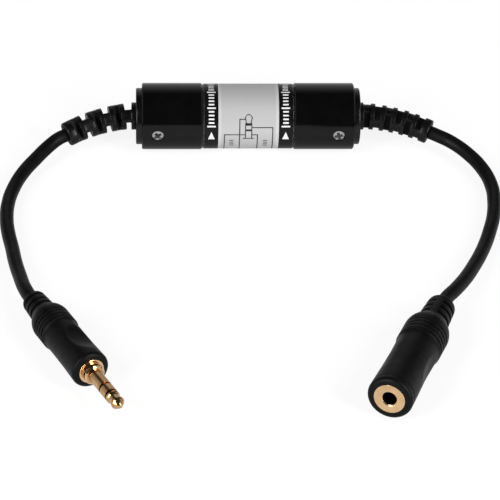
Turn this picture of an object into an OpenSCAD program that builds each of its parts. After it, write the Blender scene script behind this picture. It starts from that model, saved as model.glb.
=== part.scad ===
// Ground loop isolator for 3.5 mm stereo audio leads, at real size, in millimetres.
// A round barrel lies along X at table level and holds two small 1:1 transformers on a narrow board.
// The left lead ends in a 3.5 mm plug, the right lead in a 3.5 mm line socket, both laid toward -Y.
// The origin is at table level under the middle of the barrel.

/* [Barrel] */
// Outside diameter of the two end caps
barrel_d = 18; // [17:0.1:20]
// Length of each end cap
cap_len = 16.3; // [15:0.1:20]
// Wall of the caps
cap_wall = 1.2; // [1:0.05:1.5]
// Small bevel on the rims of the caps
cap_bevel = 0.3; // [0.1:0.05:0.5]
// Length of sleeve that shows between the caps
sleeve_show = 24.8; // [24.4:0.1:30]
// How far the sleeve lies below the surface of the caps
sleeve_step = 0.35; // [0.25:0.05:0.6]
// Length of the sleeve's spigot inside each cap
spigot_len = 6; // [4:0.5:7]
// Wall of the spigots
spigot_wall = 1; // [0.6:0.05:1.2]
// Radial clearance between a spigot or end plug and the cap round it
slip_clearance = 0.05; // [0.02:0.01:0.15]

/* [Label] */
// Width of the foil label
label_w = 24; // [18:0.1:24.4]
// Thickness of the foil label
label_t = 0.15; // [0.1:0.05:0.2]

/* [End plugs] */
// Gap that shows between the proud part of the end plug and the cap round it
ring_gap = 0.15; // [0.1:0.05:0.5]
// How far the end plug stands out of the cap
ring_proud = 1.6; // [1:0.1:2.4]
// Rounding of its outer rim
ring_round = 0.4; // [0.2:0.05:0.6]
// Length of the end plug inside the cap
ring_depth = 6.7; // [6:0.1:8]
// Thickness of the end web that grips the bend relief
ring_web = 3; // [2.4:0.1:3.6]
// Wall of the cup behind the web
ring_wall = 2.25; // [2:0.05:2.6]

/* [Cap screws] */
// Diameter of the pan head
screw_head_d = 3.3; // [3:0.1:3.6]
// Diameter of the shank
screw_d = 2; // [1.6:0.1:2.2]
// Distance of the screw from the outer end of the cap
screw_inset = 4.3; // [3.5:0.1:5.5]
// Angle of the screw below the horizontal
screw_drop = 6; // [0:1:20]
// Depth of the cross recess
cross_depth = 0.45; // [0.3:0.05:0.5]

/* [Bend reliefs] */
// Diameter of the disc against the end plug
boot_base_d = 7.6; // [7.2:0.1:8.4]
// Diameter of the relief next to the disc
boot_root_d = 7.2; // [6.6:0.1:7.6]
// Diameter of the relief at its tip
boot_tip_d = 6.6; // [6:0.1:7]
// Distance from one slot to the next
slot_pitch = 2.95; // [2.7:0.05:3.3]
// Width of a slot
slot_w = 1.6; // [1.2:0.05:1.8]
// Thickness of the neck left between two facing slots
slot_neck = 3.5; // [3.4:0.05:4.4]
// Length of the last solid segment
boot_last_len = 3.3; // [2.8:0.1:4]
// Gap between the retaining disc behind the web and the cup round it
keeper_gap = 1; // [0.6:0.1:1.6]
// Diameter of the neck through the end plug as a share of the retaining disc
neck_share = 0.667; // [0.6:0.01:0.7]
// Radial clearance of the neck in the end plug
neck_clearance = 0.05; // [0.02:0.01:0.1]

/* [Leads] */
// Diameter of the round lead
cable_d = 3.4; // [3:0.05:3.6]
// Diameter of each insulated conductor
wire_d = 0.9; // [0.6:0.05:1.1]

/* [Plug] */
// Diameter of the plug pin
pin_d = 3.5; // [3.5:0.01:3.55]
// Length of the plug pin from its shoulder
pin_len = 14; // [13.8:0.1:15]
// Length of the moulded handle of the plug
plug_grip_len = 34; // [33:0.1:38]
// Diameter of the collar of the plug handle
plug_collar_d = 9.8; // [9.4:0.1:10.6]
// Diameter of the plug handle behind its front edge
plug_front_d = 9.6; // [9:0.1:10]
// Diameter of the plug handle just ahead of the collar
plug_waist_d = 9.05; // [8.6:0.05:9.3]
// Depth of the two thumb dimples in the plug handle
plug_dimple = 0.9; // [0.4:0.1:1.1]

/* [Socket] */
// Diameter of the hole that takes a plug
hole_d = 3.6; // [3.55:0.01:3.7]
// Depth of that hole
hole_depth = 15; // [14.6:0.1:16]
// Diameter of the plated face of the socket
face_d = 8.1; // [7.4:0.1:8.6]
// Length of the moulded handle of the socket
jack_grip_len = 42.8; // [42:0.1:47]
// Diameter of the collar of the socket handle
jack_collar_d = 11.5; // [11.3:0.1:12.2]
// Diameter of the socket handle behind its front edge
jack_front_d = 11.3; // [10.9:0.1:11.8]
// Diameter of the socket handle just ahead of the collar
jack_waist_d = 10.8; // [10.4:0.1:11]
// Depth of the two thumb dimples in the socket handle
jack_dimple = 0.6; // [0.3:0.1:0.8]

/* [Board and transformers] */
// Length of the circuit board
board_l = 40; // [38:0.5:42]
// Width of the circuit board as a share of the sleeve's bore
board_share = 0.74; // [0.7:0.01:0.78]
// Thickness of the circuit board
board_t = 1; // [0.8:0.1:1.2]
// Distance of each transformer from the middle of the barrel
trafo_x = 9; // [8.6:0.1:10]
// Length of each laminated core
core_l = 12; // [11:0.1:13]
// Height of each laminated core as a share of the sleeve's bore
core_share = 0.59; // [0.54:0.01:0.62]
// Stack of the laminations as a share of the sleeve's bore
stack_share = 0.335; // [0.3:0.005:0.36]
// Width of the outer legs as a share of the core's height
leg_share = 0.125; // [0.1:0.005:0.14]
// Width of the middle leg as a share of the core's height
mid_share = 0.275; // [0.23:0.005:0.3]
// Length of the windows of the core
window_l = 8; // [7.6:0.1:8.6]
// Wall of the coil former's tube
former_wall = 0.4; // [0.3:0.05:0.5]
// Thickness of the coil former's flanges
flange_t = 0.5; // [0.4:0.05:0.7]
// Width over the coil former's flanges as a share of the sleeve's bore
flange_share = 0.63; // [0.61:0.01:0.65]
// Clearance between a coil former and its core
former_clearance = 0.1; // [0.05:0.01:0.15]
// Diameter of the pins that solder the coil formers to the board
solder_pin_d = 0.5; // [0.4:0.05:0.6]

/* [Hidden] */
$fn = 64;
eps = 0.01;
axis_z = barrel_d / 2;
cap_r = barrel_d / 2;
bore_r = cap_r - cap_wall;
slip_r = bore_r - slip_clearance;
sleeve_r = cap_r - sleeve_step;
sleeve_bore_r = slip_r - spigot_wall;
cap_x0 = sleeve_show / 2;
cap_x1 = cap_x0 + cap_len;

ring_r = bore_r - ring_gap;
ring_cup_r = slip_r - ring_wall;
keeper_r = ring_cup_r - keeper_gap;
neck_r = neck_share * keeper_r;
ring_x0 = cap_x1 - ring_depth;
ring_x1 = cap_x1 + ring_proud;
web_x0 = ring_x1 - ring_web;
keeper_t = 1.5;

screw_x = cap_x1 - screw_inset;
screw_floor = 0.25;
screw_sunk = 0.2;
screw_seat = bore_r + screw_floor;
screw_head_r = screw_head_d / 2;
screw_head_h = cap_wall - screw_floor - screw_sunk;
screw_r = screw_d / 2;
screw_tip = ring_cup_r + 0.4;
screw_gap = 0.05;
cross_w = 0.7;
cross_l = 2.1;

boot_base_t = 1.4;
first_slot = 2.3;
slot_count = 6;
slot_corner = 0.35;
rib_round = 0.15;
web_inset = 0.12;
boot_len = first_slot + (slot_count - 1) * slot_pitch + boot_last_len;
boot_droop = 7;
left_bend = [12, 5.5];
right_bend = [9.5, 5];
left_slot = 32;
right_slot = 77;

cable_r = cable_d / 2;
cable_sides = 8;
straight_out = 6;
wire_bend_x = board_l / 2 + 1;
pad_inset = 3;
wire_end_x = board_l / 2 - pad_inset;
wire_row = [-1.1, 0, 1.1];
pad_row = [-2, 0, 2];
stub_len = 1.5;

plug_heading = 26;
jack_heading = -22.5;
nose_up = 2;
collar_touch = 0.005;
plug_flare0 = 7.1;
plug_collar0 = 11.2;
plug_collar1 = 16.6;
plug_tail_r = 3.4;
plug_end_r = 3.05;
plug_end_round = 1.2;
plug_swell = 7;
plug_dimple_at = 11;
plug_thumb_r = 14;
jack_flare0 = 9.4;
jack_collar0 = 13.8;
jack_collar1 = 20.4;
jack_tail_r = 3.85;
jack_end_r = 3.2;
jack_end_round = 1.4;
jack_swell = 9;
jack_dimple_at = 15;
jack_thumb_r = 30;
jack_line_at = 2.2;
jack_line_w = 0.3;
jack_line_depth = 0.15;
plug_rear = [-55.9, -78.3, rest_height(plug_collar_d / 2, plug_collar0)];
jack_rear = [45.7, -82.1, rest_height(jack_collar_d / 2, jack_collar0)];
plug_slots = [1.7, 3.85, 6];
plug_slot_w = 0.75;
plug_slot_r = 2.2;
jack_slots = [2.9, 5.45, 8];
jack_slot_w = 0.9;
jack_slot_r = 2.4;
slot_arc = 150;
collar_edge = 0.1;
collar_step = 0.2;
plug_collar_fade = 0.8;
jack_collar_fade = 1.3;
plug_slot_mid = 120;
jack_slot_mid = 0;
plug_dimple_mid = 72;
jack_dimple_mid = 0;
groove_count = 4;
groove_w = 0.5;
groove_depth = 0.25;
groove_land = 0.6;
plug_groove_pitch = 1.25;
jack_groove_pitch = 1.45;
edge_round = 1;

pin_r = pin_d / 2;
disc_r = 3.2;
disc_t = 0.8;
shoulder_r = 2.5;
shoulder_t = 1.4;
tip_len = 5.4;
tip_rim = 0.5;
tip_waist_r = 1.3;
tip_waist_at = 1.8;
tip_flat = 0.3;
tip_bulb_r = 1.55;
tip_bulb_at = 3.6;
tip_nose_r = 0.75;
gap_len = 0.7;
ring_len = 2.65;
shell_r = 1.25;
ring_tube_r = 0.95;
rod_tube_r = 0.7;
rod_r = 0.45;
shank_r = 2.2;
shank_len = 9;
shank_s0 = plug_grip_len - shank_len;
tail_step = 1;

hole_r = hole_d / 2;
face_r = face_d / 2;
face_t = 1.2;
sink_r = hole_r + 0.2;
sink_t = 0.2;
bushing_r = 3;
bushing_len = 6;
core_r = 3.9;
socket_back = hole_depth + 3;
spring_t = 0.25;
spring_w = 1;
spring_gap = 0.1;
spring_off = 0.5;
spring_front = 0.9;
spring_slot_front = 1.4;
spring_back = 0.2;
tip_spring = 11.5;
ring_spring = 7.5;

board_gap = 0.2;
board_w = 2 * board_share * sleeve_bore_r;
core_h = 2 * core_share * sleeve_bore_r;
core_stack = 2 * stack_share * sleeve_bore_r;
core_leg = leg_share * core_h;
core_mid = mid_share * core_h;
flange_w = 2 * flange_share * sleeve_bore_r;
board_z0 = axis_z - sqrt(pow(sleeve_bore_r - board_gap, 2) - pow(board_w / 2, 2));
board_z1 = board_z0 + board_t;
window_h = (core_h - 2 * core_leg - core_mid) / 2;
core_z = board_z1 + core_h / 2;
former_l = window_l - 2 * former_clearance;
foot_in = core_stack / 2 + 0.25;
foot_l = 0.9;
foot_h = core_leg + 0.3;
solder_pin_r = solder_pin_d / 2;
solder_x = former_l / 2 + 0.2;
solder_y = (foot_in + flange_w / 2) / 2;
solder_tail = 0.6;
board_hole_r = solder_pin_r + 0.15;

left_route = [[-57.5, -16.5, 6.5], [-60.5, -21.5, 5], [-63, -27.5, 3.5], [-64, -33.5, 2.5], [-64, -40, 2],
    [-63, -46, 2], [-62, -52, 2], [-61, -58.5, 2.5], [-60.5, -64.5, 3]];
right_route = [[59, -15, 6.5], [62, -20, 5], [64, -26, 3.5], [64, -32, 2.5], [63.5, -38.5, 2],
    [62, -44.5, 2], [60, -50.5, 2], [57.5, -56.5, 2.5], [55, -62.5, 3], [52, -68, 4]];

// Height of the rear of a handle that rests on the table with its collar.
function rest_height(r, s) = r * cos(nose_up) - s * sin(nose_up) + collar_touch;

// Direction in which a plug or socket points.
function nose(heading) =
    [sin(heading) * cos(nose_up), -cos(heading) * cos(nose_up), sin(nose_up)];

// Angle of segment k of a bend relief against the barrel.
function bend_at(bend, k) = bend[0] + k * bend[1];

// Length of segment k of a bend relief.
function seg_len(k) = k < slot_count - 1 ? slot_pitch : boot_last_len;

// End of a bend relief in its own bending plane, as distance along and across the barrel.
function boot_end(bend, k = 0, along = first_slot, across = 0) =
    k == slot_count ? [along, across] :
    boot_end(bend, k + 1, along + seg_len(k) * cos(bend_at(bend, k)),
        across + seg_len(k) * sin(bend_at(bend, k)));

// Point where a lead leaves its bend relief.
function lead_exit(side, bend) =
    let (e = boot_end(bend))
    [side * (ring_x1 + e[0]), -e[1] * cos(boot_droop), axis_z - e[1] * sin(boot_droop)];

// Direction in which a lead leaves its bend relief.
function lead_dir(side, bend) =
    let (a = bend_at(bend, slot_count - 1))
    [side * cos(a), -sin(a) * cos(boot_droop), -sin(a) * sin(boot_droop)];

// All centre points of a lead, from its bend relief to the handle it ends in.
function lead_points(side, bend, route, rear, heading) =
    concat([lead_exit(side, bend), lead_exit(side, bend) + straight_out * lead_dir(side, bend)],
        route, [rear - straight_out * nose(heading), rear]);

// Quarter wave of points from radius r0 at station s0 to radius r1 at station s1.
function flare(r0, s0, r1, s1, steps = 8) =
    [for (i = [0:steps]) [r0 + (r1 - r0) * sin(90 * i / steps), s0 + (s1 - s0) * i / steps]];

// Rounded outer edge that ends at radius r - rnd on station s.
function round_edge(r, s, rnd, steps = 6) =
    [for (i = [0:steps]) [r - rnd + rnd * cos(90 * i / steps), s - rnd + rnd * sin(90 * i / steps)]];

// Rounded inner start of a body at station 0.
function round_start(r, rnd, steps = 5) =
    [for (i = [0:steps]) [r - rnd + rnd * sin(90 * i / steps), rnd - rnd * cos(90 * i / steps)]];

module on_axis(x = 0) {
    translate([x, 0, axis_z]) rotate([0, 90, 0]) children();
}

module on_side(side) {
    mirror([side < 0 ? 1 : 0, 0, 0]) children();
}

module ring_solid(r, r_in, h) {
    difference() {
        cylinder(r = r, h = h);
        translate([0, 0, -1]) cylinder(r = r_in, h = h + 2);
    }
}

module rod(a, b, r) {
    d = b - a;
    translate(a) rotate([0, acos(d[2] / norm(d)), atan2(d[1], d[0])]) cylinder(r = r, h = norm(d), $fn = 24);
}

module at_screw() {
    translate([screw_x, 0, axis_z]) rotate([90 + screw_drop, 0, 0]) children();
}

module at_plug() {
    translate(plug_rear) rotate([90 - nose_up, 0, plug_heading]) children();
}

module at_jack() {
    translate(jack_rear) rotate([90 - nose_up, 0, jack_heading]) children();
}

// Pieces: barrel

module housing_tube() {
    color([0.06, 0.06, 0.065]) on_axis() {
        difference() {
            union() {
                cylinder(r = sleeve_r, h = sleeve_show, center = true);
                cylinder(r = slip_r, h = sleeve_show + 2 * spigot_len, center = true);
            }
            cylinder(r = sleeve_bore_r, h = sleeve_show + 2 * spigot_len + 2, center = true);
        }
    }
}

module label_wrap() {
    color([0.78, 0.78, 0.79]) on_axis(-label_w / 2) ring_solid(sleeve_r + label_t, sleeve_r, label_w);
}

module cap_body() {
    on_axis(cap_x0) rotate_extrude() polygon([
        [bore_r, 0], [cap_r - cap_bevel, 0], [cap_r, cap_bevel],
        [cap_r, cap_len - cap_bevel], [cap_r - cap_bevel, cap_len], [bore_r, cap_len]]);
}

module cap(side) {
    color([0.02, 0.02, 0.022]) on_side(side) difference() {
        cap_body();
        at_screw() {
            translate([0, 0, screw_seat]) cylinder(r = screw_head_r + screw_gap, h = cap_wall + 1, $fn = 32);
            cylinder(r = screw_r + 2 * screw_gap, h = cap_r, $fn = 32);
        }
    }
}

module left_cap() {
    cap(-1);
}

module right_cap() {
    cap(1);
}

module end_ring(side) {
    color([0.03, 0.03, 0.032]) on_side(side) difference() {
        on_axis(ring_x0) rotate_extrude() polygon(concat(
            [[0, 0], [slip_r, 0], [slip_r, ring_depth], [ring_r, ring_depth]],
            round_edge(ring_r, ring_depth + ring_proud, ring_round),
            [[0, ring_depth + ring_proud]]));
        on_axis(ring_x0 - 1) cylinder(r = ring_cup_r, h = web_x0 - ring_x0 + 1);
        on_axis(web_x0 - 1) cylinder(r = neck_r + neck_clearance, h = ring_web + 2);
        at_screw() cylinder(r = screw_r + screw_gap, h = cap_r, $fn = 32);
    }
}

module left_end_ring() {
    end_ring(-1);
}

module right_end_ring() {
    end_ring(1);
}

module cap_screw(side) {
    color([0.75, 0.75, 0.76]) on_side(side) at_screw() difference() {
        union() {
            translate([0, 0, screw_tip]) cylinder(r = screw_r, h = screw_seat - screw_tip + eps, $fn = 32);
            translate([0, 0, screw_seat]) intersection() {
                cylinder(r = screw_head_r, h = screw_head_h, $fn = 32);
                translate([0, 0, screw_head_h - 2 * screw_head_d]) sphere(r = 2 * screw_head_d);
            }
        }
        for (turn = [45, 135]) {
            translate([0, 0, screw_seat + screw_head_h]) rotate([0, 0, turn])
                cube([cross_l, cross_w, 2 * cross_depth], center = true);
        }
    }
}

module left_screw() {
    cap_screw(-1);
}

module right_screw() {
    cap_screw(1);
}

// Pieces: bend reliefs

// Half-profile of a neck between two slots, with rounded inner corners against the rib at x1.
module neck_profile(x0, x1, grow) {
    translate([x0, -slot_neck / 2]) square([x1 - x0 + eps, slot_neck]);
    if (grow) for (s = [-1, 1]) {
        difference() {
            translate([x1 - slot_corner, s > 0 ? slot_neck / 2 - eps : -slot_neck / 2 - slot_corner + eps])
                square([slot_corner + eps, slot_corner]);
            translate([x1 - slot_corner, s * (slot_neck / 2 + slot_corner)])
                circle(r = slot_corner, $fn = 24);
        }
    }
}

// Neck of width 2 r that stands from x0 to x1, turned by roll about the relief's axis.
module boot_neck(r, x0, x1, roll) {
    rotate([roll, 0, 0]) intersection() {
        translate([0, 0, -r]) linear_extrude(height = 2 * r) neck_profile(x0, x1, true);
        rotate([0, 90, 0]) translate([0, 0, x0]) cylinder(r = r, h = x1 - x0 + eps);
    }
}

// Rib from x0 to x1 with rounded rims.
module boot_rib(r0, r1, x0, x1) {
    rotate([0, 90, 0]) rotate_extrude() polygon(concat(
        [[0, x0]],
        [for (p = round_start(r0, rib_round, 3)) p + [0, x0]],
        round_edge(r1, x1, rib_round, 3),
        [[0, x1]]));
}

function boot_r(s) = (boot_root_d + (boot_tip_d - boot_root_d) * s / boot_len) / 2;

function slot_roll(k, roll) = roll + (k % 2 == 0 ? 90 : 0);

// Segment k of the relief and all that follow it.
module boot_chain(k, bend, roll) {
    turn = k == 0 ? bend[0] : bend[1];
    s = first_slot + k * slot_pitch;
    lap = boot_r(s) * tan(turn / 2);
    rotate([0, 0, -turn]) {
        boot_neck(boot_r(s) - web_inset, -lap, slot_w / 2, slot_roll(k, roll));
        if (k < slot_count - 1) {
            lap2 = boot_r(s) * tan(bend[1] / 2);
            boot_rib(boot_r(s), boot_r(s + slot_pitch), slot_w / 2, slot_pitch - slot_w / 2);
            translate([slot_pitch, 0, 0]) {
                mirror([1, 0, 0]) boot_neck(boot_r(s) - web_inset, -lap2, slot_w / 2, slot_roll(k + 1, roll));
                boot_chain(k + 1, bend, roll);
            }
        } else {
            boot_rib(boot_r(s), boot_r(boot_len), slot_w / 2, boot_last_len);
        }
    }
}

module boot(side, bend, roll) {
    lap = boot_r(first_slot) * tan(bend[0] / 2);
    color([0.05, 0.05, 0.055]) on_side(side) translate([ring_x1, 0, axis_z]) rotate([boot_droop, 0, 0]) {
        rotate([0, 90, 0]) {
            translate([0, 0, -ring_web - keeper_t]) cylinder(r = keeper_r, h = keeper_t);
            translate([0, 0, -ring_web - eps]) cylinder(r = neck_r, h = ring_web + 2 * eps);
            cylinder(r = boot_base_d / 2, h = boot_base_t);
            cylinder(r = boot_root_d / 2, h = first_slot - slot_w / 2 + eps);
        }
        translate([first_slot, 0, 0]) {
            mirror([1, 0, 0]) boot_neck(boot_r(0) - web_inset, -lap, slot_w / 2, slot_roll(0, roll));
            boot_chain(0, bend, roll);
        }
    }
}

module left_boot() {
    boot(-1, left_bend, -left_slot - boot_droop);
}

module right_boot() {
    boot(1, right_bend, -right_slot - boot_droop);
}

// Pieces: leads

function unit(v) = v / norm(v);

// Direction of the route at point i, the mean of the two stretches that meet there.
function route_dir(p, i) =
    i == 0 ? unit(p[1] - p[0]) :
    i == len(p) - 1 ? unit(p[i] - p[i - 1]) :
    unit(unit(p[i + 1] - p[i]) + unit(p[i] - p[i - 1]));

// Ring of points round route point i, square to the route.
function route_ring(p, i) =
    let (t = route_dir(p, i), across = unit(cross(t, [0, 0, 1])), up = cross(across, t))
    [for (k = [0:cable_sides - 1])
        let (a = 360 * (k + 0.5) / cable_sides)
        p[i] + cable_r * (cos(a) * across + sin(a) * up)];

// Plain tube along a route, one ring per route point.
module swept(p) {
    n = len(p);
    m = cable_sides;
    polyhedron(
        points = [for (i = [0:n - 1]) each route_ring(p, i)],
        faces = concat(
            [[for (k = [0:m - 1]) k]],
            [[for (k = [m - 1:-1:0]) (n - 1) * m + k]],
            [for (i = [0:n - 2]) for (k = [0:m - 1])
                [i * m + k, (i + 1) * m + k, (i + 1) * m + (k + 1) % m, i * m + (k + 1) % m]]));
}

module left_cable() {
    color([0.05, 0.05, 0.055]) swept(lead_points(-1, left_bend, left_route, plug_rear, plug_heading));
}

module right_cable() {
    color([0.05, 0.05, 0.055]) swept(lead_points(1, right_bend, right_route, jack_rear, jack_heading));
}

// Pieces: plug

// Two facing arcs cut into a body of revolution between stations s0 and s0 + w, down to radius r.
module facing_slots(s0, w, r, r_out, middle) {
    for (turn = [0, 180]) {
        rotate([0, 0, middle + turn - slot_arc / 2]) rotate_extrude(angle = slot_arc)
            translate([r, s0]) square([r_out - r, w]);
    }
}

// Two facing dimples, each the trace of a cylinder of radius big laid across the body.
module dimples(s, r, depth, big, middle) {
    for (turn = [0, 180]) {
        rotate([0, 0, middle + turn]) translate([r - depth + big, 0, s])
            rotate([90, 0, 0]) cylinder(r = big, h = 4 * r, center = true, $fn = 96);
    }
}

// Fine grooves that leave ridges on a collar of radius r whose front edge is at station s1.
module grip_grooves(s1, pitch, r) {
    for (i = [0:groove_count - 1]) {
        translate([0, 0, s1 - groove_land - groove_w - i * pitch])
            ring_solid(r + 1, r - groove_depth, groove_w);
    }
}

module plug_grip() {
    collar_r = plug_collar_d / 2;
    color([0.05, 0.05, 0.055]) at_plug() difference() {
        rotate_extrude() polygon(concat(
            [[0, 0]],
            round_start(plug_end_r, plug_end_round),
            flare(plug_tail_r, plug_flare0, collar_r, plug_collar0),
            [[collar_r, plug_collar1 - collar_edge], [plug_waist_d / 2 + collar_step, plug_collar1],
                [plug_waist_d / 2, plug_collar1 + plug_collar_fade],
                [plug_waist_d / 2, plug_grip_len - plug_swell]],
            round_edge(plug_front_d / 2, plug_grip_len, edge_round),
            [[0, plug_grip_len]]));
        for (s = plug_slots) facing_slots(s, plug_slot_w, plug_slot_r, collar_r, plug_slot_mid);
        grip_grooves(plug_collar1, plug_groove_pitch, collar_r);
        dimples(plug_grip_len - plug_dimple_at, plug_waist_d / 2, plug_dimple, plug_thumb_r, plug_dimple_mid);
        translate([0, 0, shank_s0]) cylinder(r = shank_r, h = shank_len + 1);
        translate([0, 0, shank_s0 - tail_step]) cylinder(r = shell_r, h = shank_len, $fn = 32);
        translate([0, 0, shank_s0 - 2 * tail_step]) cylinder(r = ring_tube_r, h = shank_len, $fn = 32);
        translate([0, 0, shank_s0 - 3 * tail_step]) cylinder(r = rod_tube_r, h = shank_len, $fn = 32);
        translate([0, 0, shank_s0 - 4 * tail_step]) cylinder(r = rod_r, h = shank_len, $fn = 32);
    }
}

// Station of the shoulder that a socket face stops against, and of the tip of the pin.
function shoulder_at() = plug_grip_len + disc_t + shoulder_t;

function tip_at() = shoulder_at() + pin_len;

module plug_sleeve_contact() {
    front = tip_at() - tip_len - ring_len - 2 * gap_len;
    color([0.83, 0.66, 0.33]) at_plug() difference() {
        rotate_extrude() polygon([
            [shell_r, shank_s0], [shank_r, shank_s0],
            [shank_r, plug_grip_len], [disc_r, plug_grip_len], [disc_r, plug_grip_len + disc_t],
            [shoulder_r, plug_grip_len + disc_t], [shoulder_r, shoulder_at() - 0.6],
            [pin_r + 0.2, shoulder_at()], [pin_r, shoulder_at()], [pin_r, front], [shell_r, front]]);
    }
}

module plug_rear_insulator() {
    s0 = tip_at() - tip_len - ring_len - 2 * gap_len;
    color([0.04, 0.04, 0.04]) at_plug() {
        translate([0, 0, shank_s0 - tail_step])
            ring_solid(shell_r, ring_tube_r, s0 - shank_s0 + tail_step + eps);
        translate([0, 0, s0]) ring_solid(pin_r - 0.03, ring_tube_r, gap_len);
    }
}

module plug_ring_contact() {
    s0 = tip_at() - tip_len - ring_len - gap_len;
    back = shank_s0 - 2 * tail_step;
    color([0.83, 0.66, 0.33]) at_plug() {
        translate([0, 0, back]) ring_solid(ring_tube_r, rod_tube_r, s0 - back + eps);
        translate([0, 0, s0]) ring_solid(pin_r, rod_tube_r, ring_len);
    }
}

module plug_front_insulator() {
    s0 = tip_at() - tip_len - gap_len;
    back = shank_s0 - 3 * tail_step;
    color([0.04, 0.04, 0.04]) at_plug() {
        translate([0, 0, back]) ring_solid(rod_tube_r, rod_r, s0 - back + eps);
        translate([0, 0, s0]) ring_solid(pin_r - 0.03, rod_r, gap_len);
    }
}

module plug_tip_contact() {
    s0 = tip_at() - tip_len;
    back = shank_s0 - 4 * tail_step;
    color([0.83, 0.66, 0.33]) at_plug() {
        translate([0, 0, back]) cylinder(r = rod_r, h = s0 - back + eps, $fn = 32);
        translate([0, 0, s0]) rotate_extrude() polygon(concat(
            [[0, 0], [pin_r, 0], [pin_r, tip_rim], [tip_waist_r, tip_waist_at],
                [tip_waist_r, tip_waist_at + tip_flat], [tip_bulb_r, tip_bulb_at],
                [tip_bulb_r, tip_bulb_at + tip_flat]],
            round_edge(tip_nose_r, tip_len, tip_nose_r),
            [[0, tip_len]]));
    }
}

// Pieces: socket

// Straight body of revolution cut at depth d behind the face of the socket.
module from_face(depth) {
    at_jack() translate([0, 0, jack_grip_len - depth]) children();
}

module jack_grip() {
    collar_r = jack_collar_d / 2;
    color([0.05, 0.05, 0.055]) difference() {
        at_jack() difference() {
            rotate_extrude() polygon(concat(
                [[0, 0]],
                round_start(jack_end_r, jack_end_round),
                flare(jack_tail_r, jack_flare0, collar_r, jack_collar0),
                [[collar_r, jack_collar1 - collar_edge], [jack_waist_d / 2 + collar_step, jack_collar1],
                    [jack_waist_d / 2, jack_collar1 + jack_collar_fade],
                    [jack_waist_d / 2, jack_grip_len - jack_swell]],
                round_edge(jack_front_d / 2, jack_grip_len, edge_round),
                [[0, jack_grip_len]]));
            for (s = jack_slots) facing_slots(s, jack_slot_w, jack_slot_r, collar_r, jack_slot_mid);
            grip_grooves(jack_collar1, jack_groove_pitch, collar_r);
            dimples(jack_grip_len - jack_dimple_at, jack_waist_d / 2, jack_dimple, jack_thumb_r,
                jack_dimple_mid);
            translate([0, 0, jack_grip_len - jack_line_at])
                ring_solid(collar_r + 1, jack_front_d / 2 - jack_line_depth, jack_line_w);
        }
        from_face(face_t) cylinder(r = face_r, h = face_t + 1);
        from_face(bushing_len) cylinder(r = bushing_r, h = bushing_len);
        from_face(socket_back) cylinder(r = core_r, h = socket_back - bushing_len);
    }
}

module jack_bushing() {
    color([0.83, 0.66, 0.33]) difference() {
        union() {
            from_face(face_t) cylinder(r = face_r, h = face_t);
            from_face(bushing_len) cylinder(r = bushing_r, h = bushing_len);
        }
        from_face(bushing_len + 1) cylinder(r = hole_r, h = bushing_len + 2);
        from_face(sink_t) cylinder(r1 = hole_r, r2 = sink_r, h = sink_t);
        from_face(0) cylinder(r = sink_r, h = 1);
    }
}

// Slot in the socket's core for the spring on side turn, open to the hole.
module spring_slot(turn, reach) {
    rotate([0, 0, turn]) translate([0, -spring_w / 2 - spring_gap, -1])
        cube([hole_r + spring_off + spring_t + 2 * spring_gap, spring_w + 2 * spring_gap,
            socket_back - reach + spring_slot_front + 1]);
}

module jack_core() {
    color([0.07, 0.07, 0.07]) difference() {
        from_face(socket_back) cylinder(r = core_r, h = socket_back - bushing_len);
        from_face(hole_depth) cylinder(r = hole_r, h = hole_depth);
        from_face(socket_back) spring_slot(90, tip_spring);
        from_face(socket_back) spring_slot(-90, ring_spring);
    }
}

// Leaf spring from the rear of the socket to depth reach, with a bowed contact that stays clear of the hole.
module leaf(reach) {
    span = socket_back - reach;
    translate([hole_r + spring_off + spring_gap, -spring_w / 2, spring_back])
        cube([spring_t, spring_w, span + spring_front - spring_back]);
    translate([hole_r + spring_off + spring_gap, spring_w / 2, span]) intersection() {
        rotate([90, 0, 0]) ring_solid(spring_off, spring_off - spring_t, spring_w);
        translate([-spring_off - 1, -2 * spring_w, -1]) cube([spring_off + 1, 3 * spring_w, 2]);
    }
}

module jack_tip_spring() {
    color([0.8, 0.7, 0.4]) from_face(socket_back) rotate([0, 0, 90]) leaf(tip_spring);
}

module jack_ring_spring() {
    color([0.8, 0.7, 0.4]) from_face(socket_back) rotate([0, 0, -90]) leaf(ring_spring);
}

// Pieces: inside the barrel

module at_solder_pins() {
    for (t = [-1, 1]) for (sx = [-1, 1]) for (sy = [-1, 1]) {
        translate([t * trafo_x + sx * solder_x, sy * solder_y, 0]) children();
    }
}

module circuit_board() {
    color([0.1, 0.35, 0.18]) difference() {
        translate([-board_l / 2, -board_w / 2, board_z0]) cube([board_l, board_w, board_t]);
        at_solder_pins() translate([0, 0, board_z0 - 1])
            cylinder(r = board_hole_r, h = board_t + 2, $fn = 24);
    }
}

module core(x) {
    color([0.45, 0.46, 0.48]) translate([x, 0, core_z]) difference() {
        cube([core_l, core_stack, core_h], center = true);
        for (s = [-1, 1]) {
            translate([0, 0, s * (core_mid + window_h) / 2])
                cube([window_l, core_stack + 2, window_h], center = true);
        }
    }
}

module left_core() {
    core(-trafo_x);
}

module right_core() {
    core(trafo_x);
}

// Block round the middle leg of a core, bigger than its clearance hole by grow on each side.
module former_tube(l, grow) {
    more = 2 * former_clearance + 2 * grow;
    cube([l, core_stack + more, core_mid + more], center = true);
}

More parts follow.
